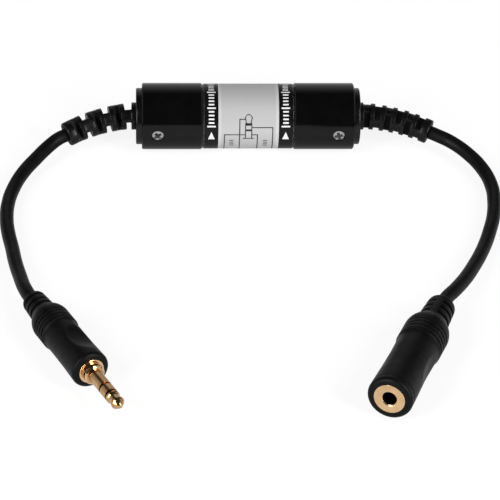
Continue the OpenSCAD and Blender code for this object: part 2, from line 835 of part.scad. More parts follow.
module former(x) {
    flange_h = core_mid + 2 * window_h - 2 * former_clearance;
    foot_z = core_z - flange_h / 2 - board_z1;
    color([0.85, 0.83, 0.76]) difference() {
        translate([x, 0, core_z]) {
            difference() {
                union() {
                    former_tube(former_l, former_wall);
                    for (s = [-1, 1]) {
                        translate([s * (former_l - flange_t) / 2, 0, 0])
                            cube([flange_t, flange_w, flange_h], center = true);
                        for (e = [-1, 1]) {
                            translate([s * (former_l / 2 + foot_l / 2 - flange_t / 2),
                                e * (foot_in + flange_w / 2) / 2, -flange_h / 2 + foot_h / 2 - foot_z])
                                cube([foot_l + flange_t, flange_w / 2 - foot_in, foot_h], center = true);
                        }
                    }
                }
                former_tube(former_l + 2, 0);
            }
        }
        at_solder_pins() translate([0, 0, board_z1 - 1]) cylinder(r = solder_pin_r, h = 2, $fn = 24);
    }
}

module left_bobbin() {
    former(-trafo_x);
}

module right_bobbin() {
    former(trafo_x);
}

module winding(x) {
    half_y = flange_w / 2 - 0.3;
    half_z = core_mid / 2 + window_h - former_clearance - 0.25;
    round_r = 0.9;
    color([0.72, 0.4, 0.2]) translate([x, 0, core_z]) difference() {
        rotate([90, 0, 90]) linear_extrude(height = former_l - 2 * flange_t, center = true) {
            square([2 * half_y - 2 * round_r, 2 * half_z], center = true);
            square([2 * half_y, 2 * half_z - 2 * round_r], center = true);
            for (sy = [-1, 1]) for (sz = [-1, 1]) {
                translate([sy * (half_y - round_r), sz * (half_z - round_r)]) circle(r = round_r, $fn = 24);
            }
        }
        former_tube(former_l, former_wall);
    }
}

module left_winding() {
    winding(-trafo_x);
}

module right_winding() {
    winding(trafo_x);
}

module transformer_pins() {
    color([0.7, 0.7, 0.68]) at_solder_pins() translate([0, 0, board_z0 - solder_tail])
        cylinder(r = solder_pin_r, h = board_t + solder_tail + 1, $fn = 24);
}

module lead_wires(side) {
    keeper_x = web_x0 - keeper_t;
    wire_r = wire_d / 2;
    color([0.6, 0.12, 0.1]) on_side(side) {
        on_axis(keeper_x - stub_len) cylinder(r = cable_r, h = stub_len, $fn = 32);
        for (i = [0:2]) {
            knee = [wire_bend_x, pad_row[i], board_z1 + wire_r];
            rod([keeper_x - stub_len / 2, wire_row[i], axis_z], knee, wire_r);
            translate(knee) sphere(r = 1.15 * wire_r, $fn = 24);
            translate([wire_end_x, pad_row[i], board_z1 + wire_r]) rotate([0, 90, 0])
                cylinder(r = wire_r, h = wire_bend_x - wire_end_x, $fn = 24);
        }
    }
}

module left_lead_wires() {
    lead_wires(-1);
}

module right_lead_wires() {
    lead_wires(1);
}

housing_tube();
label_wrap();
left_cap();
right_cap();
left_end_ring();
right_end_ring();
left_screw();
right_screw();
left_boot();
right_boot();
left_cable();
right_cable();
plug_grip();
plug_sleeve_contact();
plug_rear_insulator();
plug_ring_contact();
plug_front_insulator();
plug_tip_contact();
jack_grip();
jack_bushing();
jack_core();
jack_tip_spring();
jack_ring_spring();
circuit_board();
left_core();
right_core();
left_bobbin();
right_bobbin();
left_winding();
right_winding();
transformer_pins();
left_lead_wires();
right_lead_wires();
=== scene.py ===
import math
import bmesh
import bpy
from mathutils import Matrix, Vector


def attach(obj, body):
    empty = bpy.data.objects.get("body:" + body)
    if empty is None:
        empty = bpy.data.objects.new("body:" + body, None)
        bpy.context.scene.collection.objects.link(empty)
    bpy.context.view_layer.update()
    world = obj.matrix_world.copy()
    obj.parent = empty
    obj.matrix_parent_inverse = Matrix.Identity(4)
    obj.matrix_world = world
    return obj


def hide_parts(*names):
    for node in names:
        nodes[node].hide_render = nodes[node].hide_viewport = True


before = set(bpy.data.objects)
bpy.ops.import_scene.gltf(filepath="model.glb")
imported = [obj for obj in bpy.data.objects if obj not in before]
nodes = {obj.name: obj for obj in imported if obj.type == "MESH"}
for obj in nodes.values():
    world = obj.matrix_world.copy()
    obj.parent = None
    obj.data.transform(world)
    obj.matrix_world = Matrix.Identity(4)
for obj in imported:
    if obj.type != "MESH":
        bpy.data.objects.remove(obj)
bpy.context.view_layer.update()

MM = 0.001


# ---------------------------------------------------------------- sizes, in millimetres, as in the CAD source

AXIS_Z = 9.0
CAP_R = 9.0
CAP_X0 = 12.4
CAP_X1 = 28.7
BORE_R = 7.8
SLIP_R = 7.75
RING_R = 7.65
RING_X0 = 22.0
RING_X1 = 30.3
RING_CUP_R = 5.5
RING_WEB = 3.0
NECK_R = 3.0
SLEEVE_R = 8.65
LABEL_R = 8.8
LABEL_HALF = 12.0

BOOT_DROOP = 30.0
BOOT_ROOT_R = 3.6
BOOT_TIP_R = 3.3
FIRST_SLOT = 2.1
SLOT_PITCH = 2.95
SLOT_COUNT = 6
SLOT_W = 1.75
BOOT_LAST = 3.0
BOOT_LEN = FIRST_SLOT + (SLOT_COUNT - 1) * SLOT_PITCH + BOOT_LAST
LEFT_BEND = (9.0, 4.0)
RIGHT_BEND = (7.0, 3.7)
LEFT_SLOT = 32.0
RIGHT_SLOT = 82.0

CABLE_R = 1.825
NOSE_UP = 2.0
PLUG_HEADING = 26.0
JACK_HEADING = -22.5
PLUG_LEN = 34.0
JACK_LEN = 42.8
PLUG_COLLAR_R = 4.9
JACK_COLLAR_R = 5.75
PLUG_COLLAR0 = 11.2
JACK_COLLAR0 = 13.8


def rest_height(r, s):
    return r * math.cos(math.radians(NOSE_UP)) - s * math.sin(math.radians(NOSE_UP)) + 0.005


PLUG_REAR = (-55.9, -78.3, rest_height(PLUG_COLLAR_R, PLUG_COLLAR0))
JACK_REAR = (45.7, -82.1, rest_height(JACK_COLLAR_R, JACK_COLLAR0))

LEFT_ROUTE = [(-53.5, -8.0, 4.7), (-56.9, -12.5, 3.6), (-60.3, -18.2, 2.7), (-62.8, -25.4, 2.1), (-63.9, -32.6, 2),
              (-63.9, -40, 2), (-63.2, -46, 2), (-62.1, -52, 2), (-61.1, -58.5, 2.4), (-59.9, -64.5, 2.8)]
RIGHT_ROUTE = [(55.1, -7.0, 5.1), (59.6, -11.3, 3.8), (62.9, -17.0, 2.7), (64.5, -24, 2.1), (64.4, -31.3, 2),
               (63.4, -38.5, 2), (61.9, -44.5, 2), (60.1, -50.5, 2), (58.0, -56.5, 2.4), (55.6, -62.5, 3),
               (53.0, -68.5, 3.8), (49.8, -74.6, 4.7)]


def cosd(a):
    return math.cos(math.radians(a))


def sind(a):
    return math.sin(math.radians(a))


def clamp01(x):
    return max(0.0, min(1.0, x))


def smooth(x):
    x = clamp01(x)
    return x * x * (3 - 2 * x)


def soft_min(a, b, k):
    """The smaller of a and b, with the corner between them rounded over about k."""
    h = clamp01(0.5 + 0.5 * (b - a) / k)
    return b + (a - b) * h - k * h * (1 - h)


# ---------------------------------------------------------------- camera

def make_camera():
    az, el, roll = 2.9, 35.0, -1.5464
    fwd = Vector((sind(az) * cosd(el), cosd(az) * cosd(el), -sind(el)))
    right = Vector((cosd(az), -sind(az), 0))
    up = right.cross(fwd)
    r = cosd(roll) * right - sind(roll) * up
    u = sind(roll) * right + cosd(roll) * up
    m = Matrix((r, u, -fwd)).transposed().to_4x4()
    m.translation = Vector((-29.803, -621.164, 400.029)) * MM
    cam = bpy.data.objects.new("camera", bpy.data.cameras.new("camera"))
    cam.data.sensor_width = 36.0
    cam.data.sensor_height = 36.0
    cam.data.lens = 194.4
    cam.data.clip_start = 0.01
    cam.data.clip_end = 20.0
    cam.matrix_world = m
    bpy.context.scene.collection.objects.link(cam)
    bpy.context.scene.camera = cam


make_camera()


# ---------------------------------------------------------------- materials

class Shader:
    """A material with a Principled shader and helpers for what feeds it."""

    def __init__(self, name, **sockets):
        self.mat = bpy.data.materials.new(name)
        self.mat.use_nodes = True
        self.tree = self.mat.node_tree
        self.bsdf = self.tree.nodes["Principled BSDF"]
        self.coords = self.tree.nodes.new("ShaderNodeTexCoord")
        for key, value in sockets.items():
            self.bsdf.inputs[key.replace("_", " ")].default_value = value

    def node(self, kind, **settings):
        n = self.tree.nodes.new("ShaderNode" + kind)
        for key, value in settings.items():
            setattr(n, key, value)
        return n

    def link(self, a, b):
        self.tree.links.new(a, b)

    def noise(self, scale, detail=3.0, rough=0.5, stretch=None):
        n = self.node("TexNoise")
        n.inputs["Scale"].default_value = scale
        n.inputs["Detail"].default_value = detail
        n.inputs["Roughness"].default_value = rough
        source = self.coords.outputs["Object"]
        if stretch:
            m = self.node("Mapping")
            m.inputs["Scale"].default_value = stretch
            self.link(source, m.inputs["Vector"])
            source = m.outputs["Vector"]
        self.link(source, n.inputs["Vector"])
        return n.outputs["Fac"]

    def along(self, direction):
        """Distance along a direction, in metres."""
        d = self.node("VectorMath", operation="DOT_PRODUCT")
        self.link(self.coords.outputs["Object"], d.inputs[0])
        d.inputs[1].default_value = direction
        return d.outputs["Value"]

    def math(self, operation, a, b=None):
        n = self.node("Math", operation=operation)
        for i, v in enumerate((a, b)):
            if v is None:
                continue
            if isinstance(v, (int, float)):
                n.inputs[i].default_value = v
            else:
                self.link(v, n.inputs[i])
        return n.outputs["Value"]

    def ramp(self, fac, stops):
        n = self.node("ValToRGB")
        els = n.color_ramp.elements
        while len(els) < len(stops):
            els.new(0.5)
        for e, (pos, col) in zip(els, stops):
            e.position = pos
            e.color = (*col, 1)
        self.link(fac, n.inputs["Fac"])
        return n.outputs["Color"]

    def colour(self, fac, low, high, at=(0.35, 0.65)):
        self.link(self.ramp(fac, [(at[0], low), (at[1], high)]), self.bsdf.inputs["Base Color"])

    def rough(self, fac, low, high):
        n = self.node("MapRange")
        n.inputs["From Min"].default_value = 0.3
        n.inputs["From Max"].default_value = 0.7
        n.inputs["To Min"].default_value = low
        n.inputs["To Max"].default_value = high
        self.link(fac, n.inputs["Value"])
        self.link(n.outputs["Result"], self.bsdf.inputs["Roughness"])

    def bump(self, height, strength, distance):
        n = self.node("Bump")
        n.inputs["Strength"].default_value = strength
        n.inputs["Distance"].default_value = distance
        self.link(height, n.inputs["Height"])
        self.link(n.outputs["Normal"], self.bsdf.inputs["Normal"])


def grey(v):
    return (v, v, v)


def gloss_black():
    s = Shader("cap gloss black", IOR=1.33)
    s.colour(s.noise(240, 2), grey(0.0012), grey(0.002))
    s.rough(s.noise(600, 3), 0.1, 0.15)
    return s.mat


def ring_black():
    s = Shader("end plug black", IOR=1.4)
    s.colour(s.noise(500, 2), grey(0.0022), grey(0.004))
    s.rough(s.noise(900, 3), 0.16, 0.26)
    s.bump(s.noise(2600, 2), 0.15, 0.00003)
    return s.mat


def sleeve_black():
    s = Shader("sleeve satin black", IOR=1.45)
    s.colour(s.noise(400, 2), grey(0.004), grey(0.007))
    s.rough(s.noise(800, 3), 0.2, 0.32)
    return s.mat


def relief_black():
    s = Shader("bend relief satin black", IOR=1.31)
    s.colour(s.noise(700, 3), (0.0022, 0.0022, 0.0024), (0.0042, 0.0042, 0.0045))
    s.rough(s.noise(500, 4), 0.26, 0.34)
    s.bump(s.noise(3600, 3), 0.1, 0.00002)
    return s.mat


# Painted shade: the slot interiors keep the relief's colour but reflect less and more roughly, so they read dark as if
# shaded.
def slot_painted_shade():
    s = Shader("bend relief slots painted shade", IOR=1.19)
    s.colour(s.noise(700, 3), grey(0.0022), grey(0.0042))
    s.rough(s.noise(500, 4), 0.4, 0.5)
    return s.mat


def moulded_black():
    s = Shader("moulded satin black", IOR=1.2)
    s.colour(s.noise(700, 3), (0.0022, 0.0022, 0.0024), (0.0042, 0.0042, 0.0045))
    s.rough(s.noise(500, 4), 0.38, 0.48)
    s.bump(s.noise(3600, 3), 0.25, 0.00004)
    return s.mat


def lead_black():
    s = Shader("lead jacket black", IOR=1.2)
    s.colour(s.noise(600, 3), (0.0026, 0.0026, 0.0029), (0.0048, 0.0048, 0.0052))
    s.rough(s.noise(420, 4), 0.36, 0.48)
    s.bump(s.noise(2800, 3), 0.2, 0.00004)
    return s.mat


def label_silver():
    s = Shader("label silver foil", Metallic=0.15, IOR=1.5)
    grain = s.noise(1, 3, stretch=(2600, 260, 260))
    x = s.math("ABSOLUTE", s.along((1, 0, 0)))
    edge = s.node("MapRange")
    edge.inputs["From Min"].default_value = 0.00728
    edge.inputs["From Max"].default_value = 0.00742
    s.link(x, edge.inputs["Value"])
    tone = s.math("ADD", s.math("MULTIPLY", grain, 0.12), s.math("MULTIPLY", edge.outputs["Result"], 0.5))
    s.colour(tone, (0.46, 0.46, 0.46), (0.56, 0.56, 0.56), (0.0, 0.6))
    s.rough(grain, 0.3, 0.42)
    return s.mat


def print_black():
    s = Shader("label print black", IOR=1.3)
    s.colour(s.noise(700, 2), grey(0.003), grey(0.0045))
    s.rough(s.noise(900, 3), 0.2, 0.3)
    return s.mat


def print_white():
    s = Shader("label print white", IOR=1.45)
    s.colour(s.noise(900, 2), grey(0.68), grey(0.76))
    s.rough(s.noise(900, 3), 0.3, 0.42)
    return s.mat


def print_line():
    s = Shader("label print line", IOR=1.45)
    s.colour(s.noise(900, 2), grey(0.008), grey(0.014))
    s.rough(s.noise(900, 3), 0.3, 0.42)
    return s.mat


def gold(name, axis, low, high, dark=(0.76, 0.5, 0.27), light=(0.87, 0.59, 0.34)):
    s = Shader(name, Metallic=1.0)
    turned = s.math("SINE", s.math("MULTIPLY", s.along(axis), 2 * math.pi / 0.00009))
    s.colour(s.noise(500, 3), dark, light)
    s.rough(s.noise(900, 3), low, high)
    s.bump(turned, 0.08, 0.00001)
    return s.mat


def bright_steel(name, low, high):
    s = Shader(name, Metallic=1.0)
    s.colour(s.noise(900, 3), grey(0.44), grey(0.62))
    s.rough(s.noise(1500, 3), low, high)
    return s.mat


# Painted shade: the screw's cross recess gets a far darker steel than the plating, as if in shadow.
def recess_painted_shade():
    s = Shader("screw recess painted shade", Metallic=1.0)
    s.colour(s.noise(900, 3), grey(0.05), grey(0.11))
    s.rough(s.noise(1500, 3), 0.4, 0.6)
    return s.mat


def laminated_steel():
    s = Shader("transformer laminations", Metallic=1.0)
    sheet = s.math("SINE", s.math("MULTIPLY", s.along((0, 1, 0)), 2 * math.pi / 0.00035))
    s.colour(s.noise(700, 3), (0.2, 0.2, 0.21), (0.36, 0.36, 0.38))
    s.rough(s.noise(900, 3), 0.35, 0.5)
    s.bump(sheet, 0.8, 0.00004)
    return s.mat


def copper():
    s = Shader("enamelled copper wire", Metallic=1.0)
    turn = s.math("SINE", s.math("MULTIPLY", s.along((1, 0, 0)), 2 * math.pi / 0.00012))
    s.colour(s.noise(800, 3, stretch=(4, 1, 1)), (0.45, 0.16, 0.06), (0.66, 0.28, 0.12))
    s.rough(s.noise(900, 3), 0.25, 0.36)
    s.bump(turn, 0.9, 0.00004)
    return s.mat


def board_green():
    s = Shader("board solder mask", IOR=1.5)
    s.colour(s.noise(900, 4), (0.012, 0.09, 0.03), (0.022, 0.15, 0.05))
    s.rough(s.noise(900, 3), 0.22, 0.34)
    return s.mat


def former_cream():
    s = Shader("coil former nylon", IOR=1.5, Subsurface_Weight=0.1)
    s.colour(s.noise(700, 3), (0.66, 0.6, 0.46), (0.78, 0.73, 0.6))
    s.rough(s.noise(900, 3), 0.4, 0.55)
    return s.mat


def conductors():
    """Red, white and black insulation, by the conductor's place across the barrel."""
    s = Shader("conductor insulation", IOR=1.5)
    y = s.math("ADD", s.math("MULTIPLY", s.along((0, 1, 0)), 200), 0.5)
    col = s.ramp(y, [(0.0, (0.5, 0.02, 0.015)), (0.4, (0.01, 0.01, 0.01)), (0.6, (0.62, 0.6, 0.56))])
    for n in s.tree.nodes:
        if n.type == "VALTORGB":
            n.color_ramp.interpolation = "CONSTANT"
    s.link(col, s.bsdf.inputs["Base Color"])
    s.rough(s.noise(900, 3), 0.35, 0.5)
    return s.mat


def nose(heading):
    return Vector((sind(heading) * cosd(NOSE_UP), -cosd(heading) * cosd(NOSE_UP), sind(NOSE_UP)))


PLUG_NOSE = nose(PLUG_HEADING)
JACK_NOSE = nose(JACK_HEADING)

MATS = {
    "cap": gloss_black(), "ring": ring_black(), "sleeve": sleeve_black(), "moulded": moulded_black(),
    "relief": relief_black(), "slot": slot_painted_shade(), "lead": lead_black(), "silver": label_silver(), "print_black": print_black(), "print_white": print_white(),
    "print_line": print_line(), "plug_gold": gold("plug gold plate", PLUG_NOSE, 0.06, 0.11),
    # Painted shade: a darker copy of the same gold plating, for the darker reflections along the pin.
    "pin_gold_painted_shade": gold("pin gold plate painted shade", PLUG_NOSE, 0.05, 0.1, (0.5, 0.29, 0.13), (0.66, 0.41, 0.2)),
    "jack_gold": gold("socket gold plate", JACK_NOSE, 0.2, 0.3),
    # Painted shade: the socket's bore and the springs deep in it get a near-black copy of the gold plating, as if in
    # shadow.
    "bore": gold("socket bore", JACK_NOSE, 0.45, 0.6, (0.03, 0.018, 0.01), (0.06, 0.035, 0.02)),
    "screw": bright_steel("screw plating", 0.24, 0.36), "recess": recess_painted_shade(),
    "pins": bright_steel("tinned wire", 0.3, 0.4), "core": laminated_steel(), "copper": copper(),
    "board": board_green(), "former": former_cream(), "wires": conductors(),
}


# ---------------------------------------------------------------- mesh helpers

def add_piece(name, verts, faces, mat, sharp=None, smooth_faces=True):
    mesh = bpy.data.meshes.new(name)
    mesh.from_pydata([Vector(v) * MM for v in verts], [], faces)
    mesh.validate()
    shell = bmesh.new()
    shell.from_mesh(mesh)
    bmesh.ops.recalc_face_normals(shell, faces=shell.faces)
    shell.to_mesh(mesh)
    shell.free()
    mesh.update()
    obj = bpy.data.objects.new(name, mesh)
    bpy.context.scene.collection.objects.link(obj)
    mesh.materials.append(MATS[mat])
    if smooth_faces:
        mesh.polygons.foreach_set("use_smooth", [True] * len(mesh.polygons))
        if sharp:
            mesh.set_sharp_from_angle(angle=math.radians(sharp))
    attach(obj, "root")
    return obj


def skin(rings, closed_start=True, closed_end=True):
    """Vertices and faces of a surface through rings of points, with a pole at each closed end."""
    m = len(rings[0])
    verts = [p for ring in rings for p in ring]
    faces = []
    for i in range(len(rings) - 1):
        for k in range(m):
            a, b = i * m + k, i * m + (k + 1) % m
            faces.append((a, b, b + m, a + m))
    if closed_start:
        verts.append(sum((Vector(p) for p in rings[0]), Vector()) / m)
        faces += [(len(verts) - 1, (k + 1) % m, k) for k in range(m)]
    if closed_end:
        base = (len(rings) - 1) * m
        verts.append(sum((Vector(p) for p in rings[-1]), Vector()) / m)
        faces += [(len(verts) - 1, base + k, base + (k + 1) % m) for k in range(m)]
    return verts, faces


def arc(r, s, rnd, start, end, steps=5):
    """Points (radius, station) of a rounding of size rnd whose centre is at (r, s)."""
    return [(r + rnd * cosd(start + (end - start) * i / steps), s + rnd * sind(start + (end - start) * i / steps))
            for i in range(steps + 1)]


def lathe(name, profile, place, mat, seg=128, sharp=40):
    """Closed body of revolution about local Z; profile is a closed loop or ends on the axis."""
    loop = profile[0][0] > 1e-6
    pts = profile + ([profile[0]] if loop else [])
    rings = [[place @ Vector((r * cosd(360 * k / seg), r * sind(360 * k / seg), s)) for k in range(seg)]
             for r, s in pts]
    if loop:
        verts = [p for ring in rings[:-1] for p in ring]
        count = len(rings) - 1
        faces = []
        for i in range(count):
            for k in range(seg):
                a, b = i * seg + k, i * seg + (k + 1) % seg
                c, d = ((i + 1) % count) * seg + (k + 1) % seg, ((i + 1) % count) * seg + k
                faces.append((a, b, c, d))
    else:
        verts, faces = skin(rings[1:-1])
    return add_piece(name, verts, faces, mat, sharp)


def along_x(side):
    """Local Z runs along the barrel, outward on that side."""
    return Matrix(((0, 0, side), (0, 1, 0), (side, 0, 0))).to_4x4() if side > 0 else \
        Matrix(((0, 0, -1), (0, 1, 0), (1, 0, 0))).to_4x4()


def barrel_place(side):
    m = along_x(side)
    m.translation = Vector((0, 0, AXIS_Z))
    return m


def handle_place(rear, direction, heading):
    x = Vector((cosd(heading), sind(heading), 0))
    y = direction.cross(x)
    m = Matrix((x, y, direction)).transposed().to_4x4()
    m.translation = Vector(rear)
    return m


PLUG_PLACE = handle_place(PLUG_REAR, PLUG_NOSE, PLUG_HEADING)
JACK_PLACE = handle_place(JACK_REAR, JACK_NOSE, JACK_HEADING)


# ---------------------------------------------------------------- barrel

def build_ring(side, name, node):
    b = 0.4
    outer = [(SLIP_R, RING_X0), (SLIP_R, CAP_X1)] + [(RING_R, CAP_X1)] + arc(RING_R - b, RING_X1 - b, b, 0, 90)
    inner = [(NECK_R + 0.05, RING_X1), (NECK_R + 0.05, RING_X1 - RING_WEB), (RING_CUP_R, RING_X1 - RING_WEB),
             (RING_CUP_R, RING_X0)]
    obj = lathe(name, outer + inner, barrel_place(side), "ring", seg=192)
    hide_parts(node)
    return obj


build_ring(-1, "end_plug_left", "left_end_ring")
build_ring(1, "end_plug_right", "right_end_ring")


def cross_radius(phi, length, width, hub):
    """Edge of the cross recess in direction phi: two crossed bars and a wider hub."""
    c, s = abs(cosd(phi)), abs(sind(phi))
    bar_x = min(length / max(c, 1e-6), width / max(s, 1e-6))
    bar_y = min(width / max(c, 1e-6), length / max(s, 1e-6))
    return max(bar_x, bar_y, hub)


def build_screw(side, turn, name, node):
    """Pan-head screw: domed head with rounded rim, cross recess with sloping walls, plain shank."""
    seat, high, head, dome, rim = 8.05, 0.75, 1.63, 6.6, 0.12
    top = seat + high

    def face(r):
        return top - dome + math.sqrt(dome ** 2 - r * r)

    arms = ((0.0, 1.14, 0.4, 0.64), (0.02, 1.1, 0.37, 0.6), (0.3, 0.88, 0.28, 0.46), (0.52, 0.3, 0.14, 0.22))
    corners = [math.degrees(math.atan2(0.4, 1.14)), math.degrees(math.asin(0.4 / 0.64))]
    angles = sorted(set([5.0 * k for k in range(72)] + [round(90 * q + s * c, 4) % 360
                                                        for q in range(4) for c in corners for s in (-1, 1)]))
    rings = [[(1.0, 5.9)] * len(angles), [(1.0, seat)] * len(angles), [(head - 0.04, seat)] * len(angles),
             [(head, seat + 0.04)] * len(angles)]
    for a in (0, 22.5, 45, 67.5, 90):
        r = head - rim + rim * cosd(a)
        rings.append([(r, face(head - rim) - rim + rim * sind(a))] * len(angles))
    rings.append([(1.3, face(1.3))] * len(angles))
    recess_from = len(rings)
    for drop, length, width, hub in arms:
        rings.append([(cross_radius(p, length, width, hub), face(0.9) - drop) for p in angles])
    place = Matrix.Translation(Vector((side * 24.4, 0, AXIS_Z))) @ Matrix.Rotation(math.radians(96), 4, "X")
    points = [[place @ Vector((r * cosd(p + turn), r * sind(p + turn), z)) for (r, z), p in zip(ring, angles)]
              for ring in rings]
    verts, faces = skin(points)
    obj = add_piece(name, verts, faces, "screw", sharp=35)
    # The cross recess takes the second, darker steel: painted shade in the hole.
    obj.data.materials.append(MATS["recess"])
    first = recess_from * len(angles)
    for poly in obj.data.polygons:
        if min(poly.vertices) >= first:
            poly.material_index = 1
    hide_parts(node)


build_screw(-1, 38, "screw_left", "left_screw")
build_screw(1, 13, "screw_right", "right_screw")

# The socket's two springs take the near-black bore gold: painted shade for their place deep in the hole.
for name, mat in (("left_cap", "cap"), ("right_cap", "cap"), ("housing_tube", "sleeve"), ("label_wrap", "silver"),
                  ("plug_rear_insulator", "ring"), ("plug_front_insulator", "ring"), ("jack_core", "ring"),
                  ("jack_tip_spring", "bore"), ("jack_ring_spring", "bore"),
                  ("circuit_board", "board"), ("left_core", "core"), ("right_core", "core"),
                  ("left_bobbin", "former"), ("right_bobbin", "former"), ("left_winding", "copper"),
                  ("right_winding", "copper"), ("transformer_pins", "pins"), ("left_lead_wires", "wires"),
                  ("right_lead_wires", "wires")):
    mesh = nodes[name].data
    mesh.materials.clear()
    mesh.materials.append(MATS[mat])


# ---------------------------------------------------------------- label print

def label_point(x, elevation, r):
    return (x, -r * cosd(elevation), AXIS_Z + r * sind(elevation))


def add_strip(verts, faces, corners, steps, low, high):
    """Thin closed patch between two edges on the label. corners are (x, elevation) at the start and the end
    of each edge; it is divided into steps so that it follows the curve."""
    (ax0, ae0), (ax1, ae1), (bx0, be0), (bx1, be1) = corners
    base = len(verts)
    for i in range(steps + 1):
        t = i / steps
        a = (ax0 + (ax1 - ax0) * t, ae0 + (ae1 - ae0) * t)
        b = (bx0 + (bx1 - bx0) * t, be0 + (be1 - be0) * t)
        verts += [label_point(*a, low), label_point(*b, low), label_point(*b, high), label_point(*a, high)]
    for i in range(steps):
        p, q = base + 4 * i, base + 4 * i + 4
        for k in range(4):
            faces.append((p + k, p + (k + 1) % 4, q + (k + 1) % 4, q + k))
    faces.append((base + 3, base + 2, base + 1, base))
    last = base + 4 * steps
    faces.append((last, last + 1, last + 2, last + 3))


def add_box(verts, faces, x0, x1, e0, e1, low, high):
    """Patch from x0 to x1 and from elevation e0 up to e1."""
    steps = max(1, int(math.ceil(abs(e1 - e0) / 4)))
    add_strip(verts, faces, ((x0, e0), (x0, e1), (x1, e0), (x1, e1)), steps, low, high)


PRINT_T = 0.02
BAND_X0 = 8.15
LOW = LABEL_R - PRINT_T
HIGH = LABEL_R + PRINT_T


def build_bands():
    verts, faces = [], []
    seg = 256
    for side in (-1, 1):
        base = len(verts)
        x0, x1 = side * BAND_X0, side * (LABEL_HALF - 0.02)
        for k in range(seg):
            e = 360 * k / seg
            verts += [label_point(x0, e, LOW), label_point(x1, e, LOW), label_point(x1, e, HIGH),
                      label_point(x0, e, HIGH)]
        for k in range(seg):
            p, q = base + 4 * k, base + 4 * ((k + 1) % seg)
            for j in range(4):
                f = (p + j, p + (j + 1) % 4, q + (j + 1) % 4, q + j)
                faces.append(f if side > 0 else f[::-1])
    return add_piece("label_bands", verts, faces, "print_black", sharp=40)


def build_marks():
    """Pointers at the lower end of each band and a plain scale of bars up the band."""
    verts, faces = [], []
    low, high = HIGH - 0.01, HIGH + 0.015
    for side in (-1, 1):
        x = side * 10.0
        add_strip(verts, faces, ((x - 0.92, -12.8), (x - 0.01, 3.0), (x + 0.92, -12.8), (x + 0.01, 3.0)), 5, low, high)
        for k in range(30):
            e = 12.0 + 6.5 * k
            half = 1.15 if k % 5 == 0 else 0.75
            add_box(verts, faces, side * (10.0 - half), side * (10.0 + half), e, e + 2.8, low, high)
    return add_piece("label_marks", verts, faces, "print_white", smooth_faces=False)


def build_pictogram():
    """A plain plug outline with three lines that lead round the barrel."""
    verts, faces = [], []
    low, high = LABEL_R - 0.01, LABEL_R + 0.02
    w = 0.26
    wa = 1.7

    def vline(x, e0, e1):
        add_box(verts, faces, x - w / 2, x + w / 2, e0, e1, low, high)

    def hline(x0, x1, e):
        add_box(verts, faces, x0, x1, e - wa / 2, e + wa / 2, low, high)

    def slant(x0, e0, x1, e1):
        add_strip(verts, faces, ((x0 - w / 2, e0), (x1 - w / 2, e1), (x0 + w / 2, e0), (x1 + w / 2, e1)), 2, low, high)

    hline(-0.35, 0.35, 34.5)
    slant(-0.35, 34.5, -0.95, 30.0)
    slant(0.35, 34.5, 0.95, 30.0)
    slant(-0.95, 30.0, -0.62, 19.5)
    slant(0.95, 30.0, 0.62, 19.5)
    add_box(verts, faces, -0.95, 0.95, 15.0, 19.5, low, high)
    vline(-0.85, 8.0, 15.0)
    vline(0.85, 8.0, 15.0)
    add_box(verts, faces, -0.95, 0.95, 4.5, 8.0, low, high)
    vline(-0.85, -10.2, 4.5)
    vline(0.85, -10.2, 4.5)
    hline(-1.55, 1.55, -11.0)
    hline(-2.5, -0.85, 26.4)
    vline(-2.4, -80.0, 26.4)
    hline(0.95, 6.6, 11.4)
    vline(6.5, -80.0, 11.4)
    hline(-6.6, -0.95, -2.8)
    vline(-6.5, -80.0, -2.8)
    hline(0.95, 2.5, -2.8)
    vline(2.4, -80.0, -2.8)
    for x in (-4.6, 4.5):
        for k in range(4):
            hline(x - 0.55, x + 0.55, -16.0 - 5.0 * k)
    return add_piece("label_pictogram", verts, faces, "print_line", smooth_faces=False)


build_bands()
build_marks()
build_pictogram()


# ---------------------------------------------------------------- bend reliefs

def boot_angle(s, bend):
    """Angle of the relief's centre line at station s: it bends in its slots."""
    a = 0.0
    for k in range(SLOT_COUNT):
        a += (bend[0] if k == 0 else bend[1]) * clamp01((s - FIRST_SLOT - k * SLOT_PITCH) / SLOT_W + 0.5)
    return a


def boot_point(s, bend, table={}):
    """Centre line of a relief as (along, across, angle) at station s."""
    key = bend
    if key not in table:
        step, x, y, rows = 0.05, 0.0, 0.0, [(0.0, 0.0)]
        for i in range(int(BOOT_LEN / step) + 2):
            a = boot_angle((i + 0.5) * step, bend)
            x += step * cosd(a)
            y += step * sind(a)
            rows.append((x, y))
        table[key] = (step, rows)
    step, rows = table[key]
    if s <= 0:
        return s, 0.0, 0.0
    i = min(int(s / step), len(rows) - 2)
    t = s / step - i
    return (rows[i][0] + (rows[i + 1][0] - rows[i][0]) * t, rows[i][1] + (rows[i + 1][1] - rows[i][1]) * t,
            boot_angle(s, bend))


def slot_rings(edge, sign, full, cut, rnd, fillet):
    """Rings (station, radius of angle) down one wall of a slot. sign points from the slot to the solid side."""
    rings = []
    for a in (0, 30, 60, 90):
        def r(phi, a=a):
            depth = full(edge) - cut(phi)
            return full(edge) - min(rnd, depth / 2) * (1 - cosd(a))
        rings.append((edge + sign * rnd * (1 - sind(a)), r))
    for b in (0, 30, 60, 90):
        def r(phi, b=b):
            depth = full(edge) - cut(phi)
            return cut(phi) + min(fillet, depth / 2) * (1 - sind(b))
        rings.append((edge - sign * fillet * (1 - cosd(b)) - sign * 0.004, r))
    return rings


def constant(r):
    return lambda phi: r


